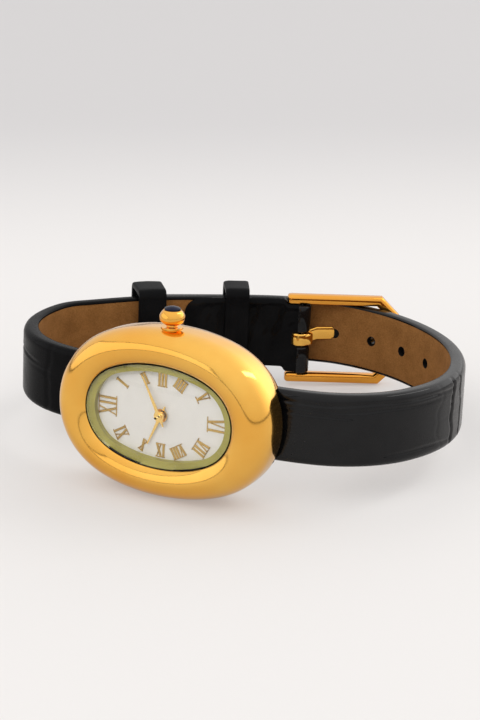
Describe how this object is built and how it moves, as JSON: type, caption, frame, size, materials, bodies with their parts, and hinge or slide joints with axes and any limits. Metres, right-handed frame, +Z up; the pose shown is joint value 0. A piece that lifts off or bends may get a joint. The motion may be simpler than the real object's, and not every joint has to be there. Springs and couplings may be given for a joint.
{
  "type": "oval wristwatch",
  "caption": "Oval wristwatch with a domed polished case, hour and minute hands, a ball crown and a leather strap closed by a tang buckle and keepers.",
  "frame": {"origin": "middle of the bounding box on the surface the watch stands on", "axes": "+X from 12 to 6 o'clock along the longest extent, +Y from the dial back to the buckle, +Z up, toward 3 o'clock and the crown, with the watch leaning back 5.5 degrees"},
  "size_m": [0.0638, 0.0572, 0.0264],
  "materials": {
    "polished_gold": "polished gold plating",
    "gold_trim": "fine gold",
    "olive_ring": "satin, olive gold",
    "white_dial": "matt white lacquer",
    "clear_glass": "clear",
    "black_rubber": "black",
    "black_stone": "polished black stone",
    "black_leather": "glossy, embossed with a scale grain",
    "tan_lining": "suede",
    "steel": "fine brushed",
    "brass": "plain brass",
    "nickel_plate": "nickel plated",
    "black_plastic": "black moulded",
    "board_green": "green board",
    "magnet": "sintered magnet",
    "copper_wire": "enamelled copper wire"
  },
  "bodies": {
    "watch": {"back_gasket": "black_rubber", "battery": "steel", "battery_clamp": "steel", "bridge_screws": "steel", "buckle_strap_leather": "black_leather", "buckle_strap_lining": "tan_lining", "case_back": "steel", "case_body": "polished_gold", "circuit_board": "board_green", "coil": "copper_wire", "coil_core": "steel", "crown_tube": "polished_gold", "crystal": "clear_glass", "crystal_gasket": "black_rubber", "dial": "white_dial", "dial_flange": "olive_ring", "fixed_keeper": "black_leather", "hour_numerals": "gold_trim", "lug_bar_12_tube": "steel", "lug_bar_6_tube": "steel", "lug_bar_springs": "steel", "main_plate": "nickel_plate", "movement_ring": "black_plastic", "quartz_resonator": "steel", "stator": "steel", "tail_strap_leather": "black_leather", "tail_strap_lining": "tan_lining", "timing_chip": "black_plastic", "train_bridge": "nickel_plate"},
    "minute_group": {"cannon_pinion": "brass", "minute_hand": "gold_trim"},
    "hour_group": {"hour_wheel": "brass", "hour_hand": "gold_trim"},
    "minute_wheel_body": {"minute_wheel": "brass"},
    "centre_wheel_body": {"centre_wheel": "brass"},
    "third_wheel_body": {"third_wheel": "brass"},
    "intermediate_wheel_body": {"intermediate_wheel": "brass"},
    "rotor_body": {"rotor": "magnet"},
    "clutch": {"clutch_pinion": "steel"},
    "crown_group": {"crown": "polished_gold", "crown_cabochon": "black_stone", "crown_gasket": "black_rubber", "winding_stem": "steel"},
    "lever": {"setting_lever": "steel"},
    "buckle": {"buckle_frame": "polished_gold", "buckle_bar_tube": "steel", "buckle_bar_spring": "steel"},
    "tongue": {"buckle_tongue": "polished_gold"},
    "loose_keeper": {"free_keeper": "black_leather"},
    "lug_bar_6_pin_upper_body": {"lug_bar_6_pin_upper": "steel"},
    "lug_bar_6_pin_lower_body": {"lug_bar_6_pin_lower": "steel"},
    "lug_bar_12_pin_upper_body": {"lug_bar_12_pin_upper": "steel"},
    "lug_bar_12_pin_lower_body": {"lug_bar_12_pin_lower": "steel"},
    "buckle_bar_pin_upper_body": {"buckle_bar_pin_upper": "steel"},
    "buckle_bar_pin_lower_body": {"buckle_bar_pin_lower": "steel"}
  },
  "joints": [
    {"name": "minute_hand_turn", "type": "hinge", "parent": "watch", "child": "minute_group", "pos_m": [-0.00005, -0.0259, 0.01198], "axis": [0, -0.9953, 0.0964], "continuous": true},
    {"name": "hour_hand_turn", "type": "hinge", "parent": "watch", "child": "hour_group", "pos_m": [-0.00005, -0.02541, 0.01193], "axis": [0, -0.9953, 0.0964], "continuous": true},
    {"name": "minute_wheel_turn", "type": "hinge", "parent": "watch", "child": "minute_wheel_body", "pos_m": [-0.00146, -0.02455, 0.01043], "axis": [0, -0.9953, 0.0964], "continuous": true},
    {"name": "rotor_turn", "type": "hinge", "parent": "watch", "child": "rotor_body", "pos_m": [0.00283, -0.02218, 0.01416], "axis": [0, -0.9953, 0.0964], "continuous": true},
    {"name": "intermediate_wheel_turn", "type": "hinge", "parent": "watch", "child": "intermediate_wheel_body", "pos_m": [0.00393, -0.02206, 0.01223], "axis": [0, -0.9953, 0.0964], "continuous": true},
    {"name": "third_wheel_turn", "type": "hinge", "parent": "watch", "child": "third_wheel_body", "pos_m": [0.00221, -0.0225, 0.01082], "axis": [0, -0.9953, 0.0964], "continuous": true},
    {"name": "centre_wheel_turn", "type": "hinge", "parent": "watch", "child": "centre_wheel_body", "pos_m": [-0.00005, -0.02272, 0.01167], "axis": [0, -0.9953, 0.0964], "continuous": true},
    {"name": "crown_turn", "type": "hinge", "parent": "watch", "child": "clutch", "pos_m": [-0.00005, -0.02328, 0.01383], "axis": [0, 0.0964, 0.9953], "continuous": true},
    {"name": "crown_pull", "type": "slide", "parent": "clutch", "child": "crown_group", "axis": [0, 0.0964, 0.9953], "range_m": [0, 0.0006]},
    {"name": "setting_lever_turn", "type": "hinge", "parent": "watch", "child": "lever", "pos_m": [0.00235, -0.02385, 0.0163], "axis": [0, -0.9953, 0.0964], "range_deg": [-15.5, 1]},
    {"name": "buckle_swing", "type": "hinge", "parent": "watch", "child": "buckle", "pos_m": [-0.00127, 0.0199, 0.00754], "axis": [0, 0.0964, 0.9953], "range_deg": [-1.5, 2.5]},
    {"name": "tongue_lift", "type": "hinge", "parent": "buckle", "child": "tongue", "pos_m": [-0.00127, 0.0199, 0.00754], "axis": [0, 0.0964, 0.9953], "range_deg": [0, 2.5]},
    {"name": "free_keeper_slide", "type": "hinge", "parent": "watch", "child": "loose_keeper", "pos_m": [0.03285, -0.05763, 0.01505], "axis": [0, 0.0964, 0.9953], "range_deg": [-5.6, 1]},
    {"name": "lug_bar_6_pin_upper_slide", "type": "slide", "parent": "watch", "child": "lug_bar_6_pin_upper_body", "axis": [0, 0.0964, 0.9953], "range_m": [-0.00085, 0], "stiffness_N_per_m": 300, "springref_m": 0.001},
    {"name": "lug_bar_6_pin_lower_slide", "type": "slide", "parent": "watch", "child": "lug_bar_6_pin_lower_body", "axis": [0, -0.0964, -0.9953], "range_m": [-0.00085, 0], "stiffness_N_per_m": 300, "springref_m": 0.001},
    {"name": "lug_bar_12_pin_upper_slide", "type": "slide", "parent": "watch", "child": "lug_bar_12_pin_upper_body", "axis": [0, 0.0964, 0.9953], "range_m": [-0.00085, 0], "stiffness_N_per_m": 300, "springref_m": 0.001},
    {"name": "lug_bar_12_pin_lower_slide", "type": "slide", "parent": "watch", "child": "lug_bar_12_pin_lower_body", "axis": [0, -0.0964, -0.9953], "range_m": [-0.00085, 0], "stiffness_N_per_m": 300, "springref_m": 0.001},
    {"name": "buckle_bar_pin_upper_slide", "type": "slide", "parent": "buckle", "child": "buckle_bar_pin_upper_body", "axis": [0, 0.0964, 0.9953], "range_m": [-0.00085, 0], "stiffness_N_per_m": 300, "springref_m": 0.001},
    {"name": "buckle_bar_pin_lower_slide", "type": "slide", "parent": "buckle", "child": "buckle_bar_pin_lower_body", "axis": [0, -0.0964, -0.9953], "range_m": [-0.00085, 0], "stiffness_N_per_m": 300, "springref_m": 0.001}
  ],
  "couplings": [
    {"joint": "hour_hand_turn", "follows": "minute_hand_turn", "ratio": 0.083333},
    {"joint": "minute_wheel_turn", "follows": "minute_hand_turn", "ratio": -0.33333},
    {"joint": "intermediate_wheel_turn", "follows": "rotor_turn", "ratio": -0.22222},
    {"joint": "third_wheel_turn", "follows": "rotor_turn", "ratio": 0.055556},
    {"joint": "centre_wheel_turn", "follows": "rotor_turn", "ratio": -0.011111},
    {"joint": "setting_lever_turn", "follows": "crown_pull", "rad_per_m": -416.67}
  ]
}
